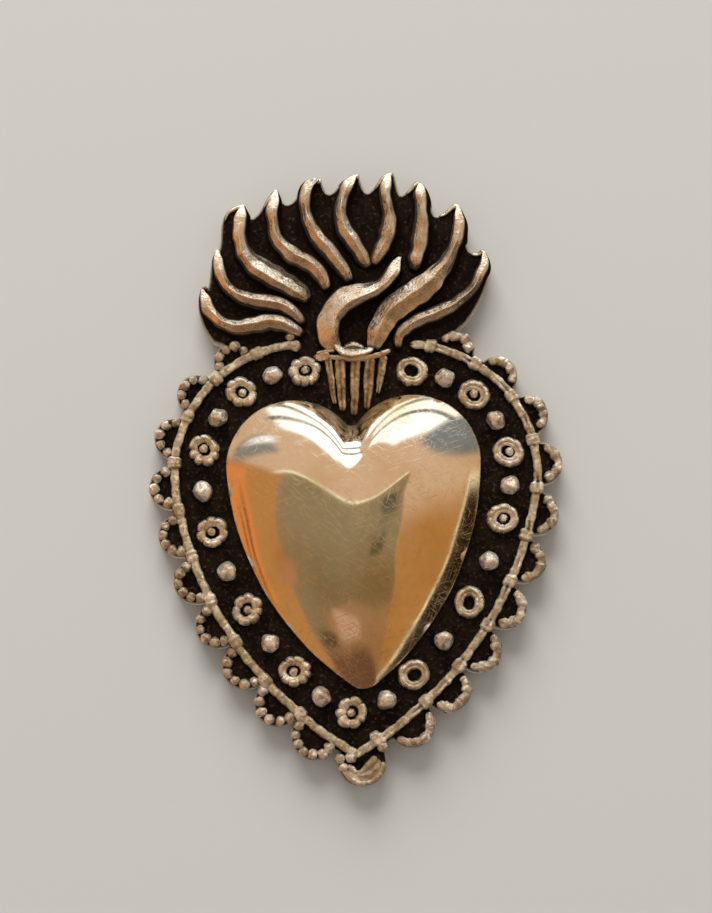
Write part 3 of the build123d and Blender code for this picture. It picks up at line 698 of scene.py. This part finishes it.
def cup_shells():
    """The cup: five tapered staves with a flattened front, from the lip down to the heart's cleft."""
    shells = []
    for number, (top, foot, thick) in enumerate(zip(FLUTE_TOPS, FLUTE_FEET, FLUTE_WIDTHS)):
        path = np.linspace(top, foot, FLUTE_STEPS)
        left, run = sideways(path)
        path = path + wobble(path, number, FLUTE_WANDER)[:, None] * left
        radius = np.interp(run / run[-1], (0, 0.5, 1), (thick[0], FLUTE_WAIST * thick[0], thick[1]))
        radius *= 1 + wobble(path, number, FLUTE_SWELL)
        shells.append(bar(path, rounded(run, radius), np.linspace(*FLUTE_LIFT, FLUTE_STEPS), **FLUTE_FORM))
    return shells


def lip_shells():
    """The cup's lip: a leaf that dips to the left under a thin bar, a front band with a right end, a thick
    crescent that hangs over the band and a thin line for the far side of the mouth."""
    shells = []
    for lifts, power, tilt, radii, points in LIP_BARS:
        shells.append(routed_bar(points, radii, lifts, power=power, tilt=tilt))
    return shells


def put(name, data):
    """Puts an object with this mesh, light or camera into the scene."""
    thing = bpy.data.objects.new(name, data)
    bpy.context.scene.collection.objects.link(thing)
    return thing


def add_piece(name, shells, material, node, loop=False):
    """Puts shells into one mesh object that rides on the charm and stands for a node of the solids."""
    points, quads, fans, rubs = zip(*(skin(rings, rub, loop) for rings, rub in shells))
    starts = np.cumsum([0] + [len(part) for part in points])
    faces = []
    for group in (quads, fans):
        faces += np.concatenate([part + start for part, start in zip(group, starts)]).tolist()
    mesh = bpy.data.meshes.new(name)
    mesh.from_pydata((np.concatenate(points) * MM).tolist(), [], faces)
    mesh.polygons.foreach_set("use_smooth", np.ones(len(faces), bool))
    attribute = mesh.attributes.new("rub", "FLOAT", "POINT")
    attribute.data.foreach_set("value", np.concatenate(rubs).astype(np.float32))
    mesh.materials.append(material)
    mesh.update()
    piece = put(name, mesh)
    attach(piece, BODY)
    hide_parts(node)


# Finishes

SOFT = {"interpolation_type": "SMOOTHSTEP"}
COLOUR = {"data_type": "RGBA", "out": 2}


def linear(code):
    """Linear red, green, blue and full alpha of an sRGB hex colour."""
    share = np.array([int(code[n : n + 2], 16) for n in (1, 3, 5)]) / 255
    light = np.where(share <= 0.04045, share / 12.92, ((share + 0.055) / 1.055) ** 2.4)
    return (*light, 1.0)


def add(tree, kind, inputs=None, out=0, **settings):
    """Adds a shader node of a kind with its settings, sets or links its inputs, and gives one output."""
    node = tree.nodes.new("ShaderNode" + kind)
    for name, value in settings.items():
        setattr(node, name, value)
    for name, value in (inputs or {}).items():
        if isinstance(value, bpy.types.NodeSocket):
            tree.links.new(value, node.inputs[name])
        else:
            node.inputs[name].default_value = value
    return node.outputs[out] if node.outputs else None


def start_material(name):
    """A material with an empty node tree, and its Object coordinates."""
    material = bpy.data.materials.new(name)
    material.use_nodes = True
    material.node_tree.nodes.clear()
    place = add(material.node_tree, "TexCoord", out="Object")
    return material, material.node_tree, place


def per_mm(size):
    """Texture scale, in waves a metre, of a pattern `size` mm long."""
    return 1 / (size * MM)


def patches(tree, place, size, levels, detail, values=(0.0, 1.0), roughness=0.5):
    """A pattern of soft patches about `size` mm across: noise, turned smoothly into values between levels."""
    noise = {"Vector": place, "Scale": per_mm(size), "Detail": detail, "Roughness": roughness}
    noise = add(tree, "TexNoise", noise)
    patch = {"Value": noise, "From Min": levels[0], "From Max": levels[1]}
    patch |= {"To Min": values[0], "To Max": values[1]}
    return add(tree, "MapRange", patch, **SOFT)


def finish_material(material, looks):
    """Closes a material with a metal shader."""
    shader = add(material.node_tree, "BsdfPrincipled", looks)
    add(material.node_tree, "OutputMaterial", {"Surface": shader})
    return material


# Polished silver of the raised heart: a mirror with fine wiping scratches and a breath of yellow tarnish,
# which turns brown-black where the pad can't reach its foot
SCRATCHES = ((0.35, 2.4, 0.05), (-0.6, 1.8, 0.05), (1.25, 2.1, 0.05), (2.3, 1.5, 0.05))  # turn, length, width


def polished_silver():
    material, tree, place = start_material("polished_silver")
    rub = add(tree, "Attribute", out="Fac", attribute_name="rub")
    blotch = add(tree, "TexNoise", {"Vector": place, "Scale": per_mm(9.0), "Detail": 3.0})
    tarnish = add(tree, "MapRange", {"Value": blotch, "From Min": 0.42, "From Max": 0.72}, **SOFT)
    tint = add(tree, "Mix", {0: tarnish, 6: linear("#f6f3ec"), 7: linear("#e8d8ba")}, **COLOUR)
    scratch = patches(tree, place, 0.16, (0.66, 0.86), 2.0)
    for turn, length, width in SCRATCHES:
        size = (length * MM, width * MM, length * MM)
        turned = {"Vector": place, "Rotation": (0, 0, turn), "Scale": size}
        turned = add(tree, "Mapping", turned, vector_type="TEXTURE")
        lines = add(tree, "TexNoise", {"Vector": turned, "Scale": 1.0, "Detail": 2.0})
        thin = add(tree, "MapRange", {"Value": lines, "From Min": 0.66, "From Max": 0.73}, **SOFT)
        scratch = add(tree, "Math", {0: scratch, 1: thin}, operation="MAXIMUM")
    haze = patches(tree, place, 4.0, (0.3, 0.75), 5.0, values=(0.06, 0.12))
    dull = {"Value": rub, "From Min": 0.1, "From Max": 0.9, "To Min": 0.3, "To Max": 0.0}
    dull = add(tree, "MapRange", dull, **SOFT)
    haze = add(tree, "Math", {0: haze, 1: dull}, operation="ADD")
    worn = add(tree, "Math", {0: scratch, 1: 0.14, 2: haze}, operation="MULTIPLY_ADD")
    uneven = add(tree, "Math", {0: blotch, 1: 0.2, 2: rub}, operation="MULTIPLY_ADD")
    clean = add(tree, "MapRange", {"Value": uneven, "From Min": 0.06, "From Max": 0.2}, **SOFT)
    relief = {"Height": scratch, "Strength": 0.5, "Distance": 0.01 * MM}
    looks = {
        "Base Color": add(tree, "Mix", {0: clean, 6: linear("#1c130c"), 7: tint}, **COLOUR),
        "Metallic": 1.0,
        "Roughness": worn,
        "Normal": add(tree, "Bump", relief),
    }
    return finish_material(material, looks)


# Oxidised silver, polished back: bright where the polishing pad reached, brown-black sulphide in the
# recesses; on the flames' right flanks the dark is also painted shade
STAIN = 0.5  # how far stains shift the edge of the polish


def rubbed_silver(name, bright, dull, gloss, metal=0.75, start=0.3, full=0.75, lean=0.6):
    material, tree, place = start_material(name)
    rub = add(tree, "Attribute", out="Fac", attribute_name="rub")
    stain = {"Vector": place, "Scale": per_mm(1.1), "Detail": 4.0, "Roughness": 0.65}
    stain = add(tree, "TexNoise", stain)
    uneven = add(tree, "Math", {0: stain, 1: STAIN, 2: rub}, operation="MULTIPLY_ADD")
    clean = {"Value": uneven, "From Min": start + STAIN / 2, "From Max": full + STAIN / 2}
    clean = add(tree, "MapRange", clean, **SOFT)
    cloud = patches(tree, place, 1.6, (0.35, 0.65), 3.0)
    tint = add(tree, "Mix", {0: cloud, 6: linear(bright), 7: linear(dull)}, **COLOUR)
    dents = add(tree, "TexNoise", {"Vector": place, "Scale": per_mm(0.25), "Detail": 3.0})
    dents = add(tree, "Bump", {"Height": dents, "Strength": 0.8, "Distance": 0.09 * MM})
    flats = add(tree, "TexVoronoi", {"Vector": place, "Scale": per_mm(0.36)}, out="Color")
    flats = add(tree, "VectorMath", {0: flats, 1: (0.5, 0.5, 0.5)}, operation="SUBTRACT")
    flats = {0: flats, 1: (lean, lean, lean), 2: dents}
    flats = add(tree, "VectorMath", flats, operation="MULTIPLY_ADD")
    polish = {"Value": clean, "To Min": 0.75, "To Max": gloss}
    bare = {"Value": clean, "From Max": 0.25, "To Min": 0.0, "To Max": metal}
    looks = {
        "Base Color": add(tree, "Mix", {0: clean, 6: linear("#20160f"), 7: tint}, **COLOUR),
        "Metallic": add(tree, "MapRange", bare),
        "Specular IOR Level": 0.0,
        "Roughness": add(tree, "MapRange", polish),
        "Normal": add(tree, "VectorMath", {0: flats}, operation="NORMALIZE"),
    }
    return finish_material(material, looks)


# Oxidised sheet of the plate: a pitted brown-black ground on top, rubbed silver on its edges and under it
def oxidised_sheet():
    material, tree, place = start_material("oxidised_sheet")
    facing = add(tree, "NewGeometry", out="Normal")
    facing_up = add(tree, "SeparateXYZ", {"Vector": facing}, out="Z")
    top = add(tree, "MapRange", {"Value": facing_up, "From Min": 0.4, "From Max": 0.7}, **SOFT)
    cloud = patches(tree, place, 1.6, (0.35, 0.7), 5.0, roughness=0.6)
    ground = add(tree, "Mix", {0: cloud, 6: linear("#0a0605"), 7: linear("#22160f")}, **COLOUR)
    pits = {"Vector": place, "Scale": per_mm(0.4), "Detail": 4.0, "Roughness": 0.7}
    pits = add(tree, "TexNoise", pits)
    specks = add(tree, "MapRange", {"Value": pits, "From Min": 0.53, "From Max": 0.76}, **SOFT)
    ground = add(tree, "Mix", {0: specks, 6: ground, 7: linear("#5a4735")}, **COLOUR)
    worn = patches(tree, place, 2.6, (0.3, 0.7), 8.0)
    sheet = add(tree, "Mix", {0: worn, 6: linear("#cfc6b5"), 7: linear("#85786a")}, **COLOUR)
    surface = add(tree, "Mix", {0: top, 6: sheet, 7: ground}, **COLOUR)
    soft_edge = add(tree, "Bevel", {"Radius": 0.35 * MM}, samples=6)
    alike = {0: soft_edge, 1: facing}
    alike = add(tree, "VectorMath", alike, out="Value", operation="DOT_PRODUCT")
    edge = add(tree, "MapRange", {"Value": alike, "From Min": 0.99, "From Max": 0.92}, **SOFT)
    under = add(tree, "MapRange", {"Value": top, "To Min": 1.0, "To Max": 0.0})
    bright = add(tree, "Math", {0: edge, 1: under}, operation="MAXIMUM")
    relief = {"Height": pits, "Strength": 0.8, "Distance": 0.1 * MM, "Normal": soft_edge}
    looks = {
        "Base Color": add(tree, "Mix", {0: edge, 6: surface, 7: linear("#e4ddd0")}, **COLOUR),
        "Metallic": add(tree, "MapRange", {"Value": bright, "To Min": 0.0, "To Max": 0.7}),
        "Specular IOR Level": 0.12,
        "Roughness": add(tree, "MapRange", {"Value": bright, "To Min": 0.55, "To Max": 0.36}),
        "Normal": add(tree, "Bump", relief),
    }
    return finish_material(material, looks)


# Drawn silver wire of the bail: fine drawing marks and grey tarnish
def drawn_silver():
    material, tree, place = start_material("drawn_silver")
    cloud = patches(tree, place, 2.0, (0.3, 0.7), 4.0)
    tint = {0: cloud, 6: linear("#cfc7b8"), 7: linear("#8f8473")}
    marks = add(tree, "TexNoise", {"Vector": place, "Scale": per_mm(0.2), "Detail": 2.0})
    satin = {"Value": marks, "From Min": 0.3, "From Max": 0.7, "To Min": 0.28, "To Max": 0.4}
    looks = {
        "Base Color": add(tree, "Mix", tint, **COLOUR),
        "Metallic": 1.0,
        "Roughness": add(tree, "MapRange", satin, **SOFT),
        "Normal": add(tree, "Bump", {"Height": marks, "Strength": 0.3, "Distance": 0.03 * MM}),
    }
    return finish_material(material, looks)


# Pieces


def node_middle(node):
    """Middle of a node's box, seen from above, in mm."""
    low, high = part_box(node)
    return np.array([low.x + high.x, low.y + high.y]) / 2 / MM


heart_finish = polished_silver()
wire_finish = rubbed_silver("rubbed_wire", "#f8f0de", "#cbbd9f", 0.34)
bead_finish = rubbed_silver("rubbed_beads", "#f2eadc", "#c4b49a", 0.32)
ring_finish = rubbed_silver("rubbed_rings", "#fbf5e8", "#d6c8ac", 0.26, metal=0.82, lean=0.45)
dot_finish = rubbed_silver("rubbed_dots", "#fbf7ee", "#dfd0b6", 0.27)
flame_wear = {"metal": 0.95, "start": 0.2, "full": 0.9, "lean": 0.2}
flame_finish = rubbed_silver("rubbed_flames", "#fbf7ef", "#e6d9c4", 0.26, **flame_wear)
cup_finish = rubbed_silver("rubbed_cup", "#dcc7a2", "#a5835a", 0.38, start=0.35, full=0.85)
bail_finish = drawn_silver()

add_piece("raised_heart", heart_shells(), heart_finish, "heart_dome")
add_piece("left_rim", rim_shells(-1), wire_finish, "rim_wire_left")
add_piece("right_rim", rim_shells(1), wire_finish, "rim_wire_right")
for number in range(1, 2 * TIP_SCALLOP):
    if number == TIP_SCALLOP:
        shells = leaf_shells()
    else:
        shells = beaded_shells(number) if number < TIP_SCALLOP else melted_shells(number)
    add_piece(f"beaded_scallop_{number:02d}", shells, bead_finish, f"scallop_{number:02d}")

granules = []
shift_dice = np.random.default_rng(SHIFT_SEED)
for number in range(1, RING_COUNT + 1):
    node = f"rosette_{number:02d}"
    centre = node_middle(node)
    shells = [ring_shells(number, centre)]
    add_piece(f"flower_ring_{number:02d}", shells, ring_finish, node, loop=True)
    if number not in EMPTY_RINGS:
        place = centre + SEED_SHIFT * shift_dice.uniform(-1, 1, 2)
        granules.append(ball(place, SEED_RADIUS, SEED_LIFT, GRANULE_SEED + number, rough=0.14))
add_piece("ring_seeds", granules, dot_finish, "rosette_granules")

dots = []
for side, last_ring in ((-1, "rosette_01"), (1, f"rosette_{RING_COUNT:02d}")):
    last_x = abs(node_middle(last_ring)[0])
    last_angle = math.acos((last_x - SHOULDER_X) / (SHOULDER_RADIUS - BORDER_INSET))
    length = shoulder_distance(last_angle, BORDER_INSET)
    steps = np.cumsum(BORDER_STEPS[side]) / sum(BORDER_STEPS[side])
    places, _ = rim_line(side, steps[::2] * length, BORDER_INSET)
    for number, place in enumerate(places):
        dots.append(ball(place, DOT_RADIUS, DOT_LIFT, DOT_SEED[side] + number, rough=0.13))
add_piece("border_dots", dots, dot_finish, "bead_granules")

add_piece("fluted_cup", cup_shells(), cup_finish, "fluted_collar")
add_piece("cup_lip", lip_shells(), flame_finish, "collar_lip")
for number, flame in enumerate(FLAMES, 1):
    shells = flame_shells(number, *flame)
    if number in HOOKS:
        shells += hook_shells(HOOKS[number])
    add_piece(f"flame_tongue_{number:02d}", shells, flame_finish, f"flame_{number:02d}")

solid_finishes = {"back_plate": oxidised_sheet(), "bail_ring": bail_finish, "bail_strap": bail_finish}
for node, finish in solid_finishes.items():
    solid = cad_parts[node]
    solid.data.materials.clear()
    solid.data.materials.append(finish)


# Stage, in metres: pale floor, soft light and the camera of the photograph
FLOOR_REACH = 1.0
KEY_SIZE = 0.64
KEY_POWER = 10.0
KEY_PLACE = (-0.13, 0.85, 0.51)
PLAIN_SKY = "#e6e4df"
PLAIN_STRENGTH = 0.55


# Pale painted board: matt and even, seen through from below so that the back of the charm shows
def pale_board():
    material, tree, _ = start_material("pale_board")
    board = add(tree, "BsdfPrincipled", {"Base Color": linear("#d6d3cd"), "Roughness": 0.8})
    behind = add(tree, "NewGeometry", out="Backfacing")
    clear = add(tree, "BsdfTransparent")
    mixed = add(tree, "MixShader", {0: behind, 1: board, 2: clear})
    add(tree, "OutputMaterial", {"Surface": mixed})
    return material


floor_mesh = bpy.data.meshes.new("floor")
corners = ((-1, -1), (1, -1), (1, 1), (-1, 1))
corners = [(x * FLOOR_REACH, y * FLOOR_REACH, 0) for x, y in corners]
floor_mesh.from_pydata(corners, [], [(0, 1, 2, 3)])
floor_mesh.materials.append(pale_board())
floor = put("floor", floor_mesh)
floor.visible_glossy = False

# What the polished metal reflects, by direction: soft boxes, warm reflectors and dark flags round the charm.
# Each has a colour, a strength, and limits where it fades in: a vector and the products of the direction
# with it at which the panel starts to show and shows fully.
X = (1, 0, 0)
Y = (0, 1, 0)
Z = (0, 0, 1)
WAVE = "wave"  # the pale line above the middle panel dips in the middle and at its left end
WAVE_HEIGHT = 0.105
WAVE_LENGTH = 0.95
MIDDLE_RIGHT = (1, 0.2, 0)
BLUSH_TOP = (-0.46, 1, 0)
WARM_LEFT = (0, -0.42, 1)
EMBER_LEFT = (0, -0.3, 1)
DARK_RIGHT = (0, 0.14, 1)
WINDOW_LEFT = (-0.53, 0, 1)
WINDOW_RIGHT = (0.5, 0, 1)
HAZE_LOW = (0.8, 1, 0)
HAZE_LEFT = (1, 0, 0.63)
PANE_TOP = (-0.43, 0, 1)
PANE_LOW = (0, 1, -1)
WHITE = "#fffdf4"
CREAM = "#f2e2bc"
OLIVE = "#917c5b"
OVERHEAD = "#d6b08c"
PANELS = (
    (WHITE, 1.45, ((X, -0.46, -0.34), (Y, 0.45, 0.55), (WINDOW_LEFT, 0.66, 0.6), (WINDOW_RIGHT, 0.78, 0.7))),
    ("#6f6b64", 1.0, ((Y, 0.5, 0.6), (X, -0.5, -0.4), (Z, 0.33, 0.315), (Z, 0.265, 0.28))),
    ("#827d74", 1.0, ((Y, 0.5, 0.6), (X, -0.5, -0.4), (Z, 0.16, 0.145), (Z, 0.1, 0.115))),
    ("#7c8180", 1.0, ((HAZE_LOW, 0.96, 1.06), (HAZE_LEFT, 0.73, 0.84))),
    ("#827f78", 1.0, ((X, -0.5, -0.6), (PANE_TOP, 0.63, 0.68), (PANE_LOW, -0.14, -0.02))),
    (WHITE, 1.2, ((X, -0.48, -0.56), (PANE_TOP, 0.67, 0.7), (PANE_LOW, 0.1, 0.16))),
    (CREAM, 1.2, ((X, -0.78, -0.74), (WAVE, 0.262, 0.253), (MIDDLE_RIGHT, 0.48, 0.46))),
    (OLIVE, 1.0, ((X, -0.84, -0.81), (WAVE, 0.234, 0.224), (MIDDLE_RIGHT, 0.51, 0.475))),
    ("#806843", 1.0, ((X, -0.85, -0.5), (Y, -0.05, -0.45), (MIDDLE_RIGHT, 0.51, 0.475))),
    ("#5c5643", 1.0, ((X, 0.2, 0.27), (X, 0.45, 0.38), (Y, -0.02, 0.05), (Y, 0.17, 0.1))),
    ("#5f5640", 1.0, ((X, 0.1, 0.19), (X, 0.38, 0.3), (Y, -0.17, -0.11), (Y, -0.01, -0.06))),
    ("#a1764f", 1.0,
     ((X, -0.64, -0.57), (MIDDLE_RIGHT, 0.51, 0.475), (BLUSH_TOP, -0.27, -0.3), (Y, -0.41, -0.44))),
    ("#c69a78", 1.0, ((X, -0.57, -0.5), (X, 0.1, -0.15), (Y, -0.5, -0.54), (Y, -0.65, -0.61))),
    ("#6d4a33", 1.0, ((Y, -0.62, -0.74),)),
    ("#4d3d28", 1.0, ((X, -0.68, -0.63), (X, -0.54, -0.59), (Y, -0.6, -0.62), (Y, -0.67, -0.65))),
    ("#b88044", 1.0, ((X, -0.55, -0.65), (Y, 0.32, 0.2), (WARM_LEFT, 0.65, 0.62))),
    ("#b47d55", 1.0, ((X, -0.86, -0.82), (X, -0.72, -0.76), (Y, -0.28, -0.33), (Y, -0.46, -0.41))),
    ("#e38b47", 0.95, ((X, -0.5, -0.6), (Y, 0.24, 0.14), (EMBER_LEFT, 0.37, 0.33))),
    ("#7a3d16", 1.0,
     ((X, -0.8, -0.85), (Y, 0.05, -0.1), (EMBER_LEFT, 0.31, 0.3), (EMBER_LEFT, 0.275, 0.285))),
    ("#8a4a1c", 1.0,
     ((X, -0.8, -0.85), (Y, 0.0, -0.2), (EMBER_LEFT, 0.255, 0.245), (EMBER_LEFT, 0.225, 0.235))),
    ("#b98246", 1.0, ((MIDDLE_RIGHT, 0.475, 0.51), (Y, 0.1, -0.12))),
    (CREAM, 1.1, ((X, 0.4, 0.5), (Y, 0.12, 0.04), (DARK_RIGHT, 0.27, 0.26))),
    ("#2b2117", 1.0, ((X, 0.4, 0.5), (Y, 0.08, -0.02), (DARK_RIGHT, 0.245, 0.235))),
    ("#c4bdb0", 1.1, ((Y, 0.2, 0.4), (Z, 0.08, -0.02))),
    (WHITE, 2.6, ((X, -0.6, -0.45), (X, 0.6, 0.45), (Y, 0.66, 0.76), (Z, 0.1, 0.03), (Z, -0.45, -0.3))),
    ("#1d1510", 1.0, ((Z, -0.4, -0.6),)),
    ("#b9b2a5", 1.0, ((Z, -0.55, -0.72),)),
)
world = bpy.data.worlds.new("studio")
bpy.context.scene.world = world
world.use_nodes = True
world.cycles.sampling_method = "NONE"
sky = world.node_tree
sky.nodes.clear()
direction = add(sky, "TexCoord", out="Generated")
sideways_part = add(sky, "SeparateXYZ", {"Vector": direction}, out="X")
upright_part = add(sky, "SeparateXYZ", {"Vector": direction}, out="Y")
turns = {0: sideways_part, 1: 2 * math.pi / WAVE_LENGTH}
turns = add(sky, "Math", turns, operation="MULTIPLY")
ripple = add(sky, "Math", {0: turns}, operation="COSINE")
ripple = {0: ripple, 1: WAVE_HEIGHT, 2: upright_part}
rippled = add(sky, "Math", ripple, operation="MULTIPLY_ADD")
room = linear(OVERHEAD)
for code, strength, limits in PANELS:
    share = 1.0
    for vector, low, high in limits:
        along = rippled
        if vector != WAVE:
            product = {0: direction, 1: vector}
            along = add(sky, "VectorMath", product, out="Value", operation="DOT_PRODUCT")
        step = add(sky, "MapRange", {"Value": along, "From Min": low, "From Max": high}, **SOFT)
        share = add(sky, "Math", {0: share, 1: step}, operation="MULTIPLY")
    glow = tuple(channel * strength for channel in linear(code)[:3]) + (1.0,)
    room = add(sky, "Mix", {0: share, 6: room, 7: glow}, **COLOUR)
reflected = add(sky, "Background", {"Color": room, "Strength": 1.0})
plain = {"Color": linear(PLAIN_SKY), "Strength": PLAIN_STRENGTH}
plain = add(sky, "Background", plain)
glossy = add(sky, "LightPath", out="Is Glossy Ray")
either = add(sky, "MixShader", {0: glossy, 1: plain, 2: reflected})
add(sky, "OutputWorld", {"Surface": either})

key_data = bpy.data.lights.new("soft_key", "AREA")
key_data.size = KEY_SIZE
key_data.energy = KEY_POWER
key = put("soft_key", key_data)
key.location = KEY_PLACE
key.rotation_euler = (-key.location).to_track_quat("-Z", "Y").to_euler()
key.visible_glossy = False

camera_data = bpy.data.cameras.new("camera")
camera_data.sensor_width = SENSOR
camera_data.lens = SENSOR * CAMERA_DISTANCE / (MM_PER_PIXEL * PHOTO_HEIGHT)
camera = put("camera", camera_data)
back = np.array([0.0, -math.sin(CAMERA_TILT), math.cos(CAMERA_TILT)])
camera.location = (np.array(CAMERA_AIM) + CAMERA_DISTANCE * back) * MM
camera.rotation_euler = (CAMERA_TILT, 0.0, 0.0)
bpy.context.scene.camera = camera
bpy.context.scene.view_settings.view_transform = "Standard"
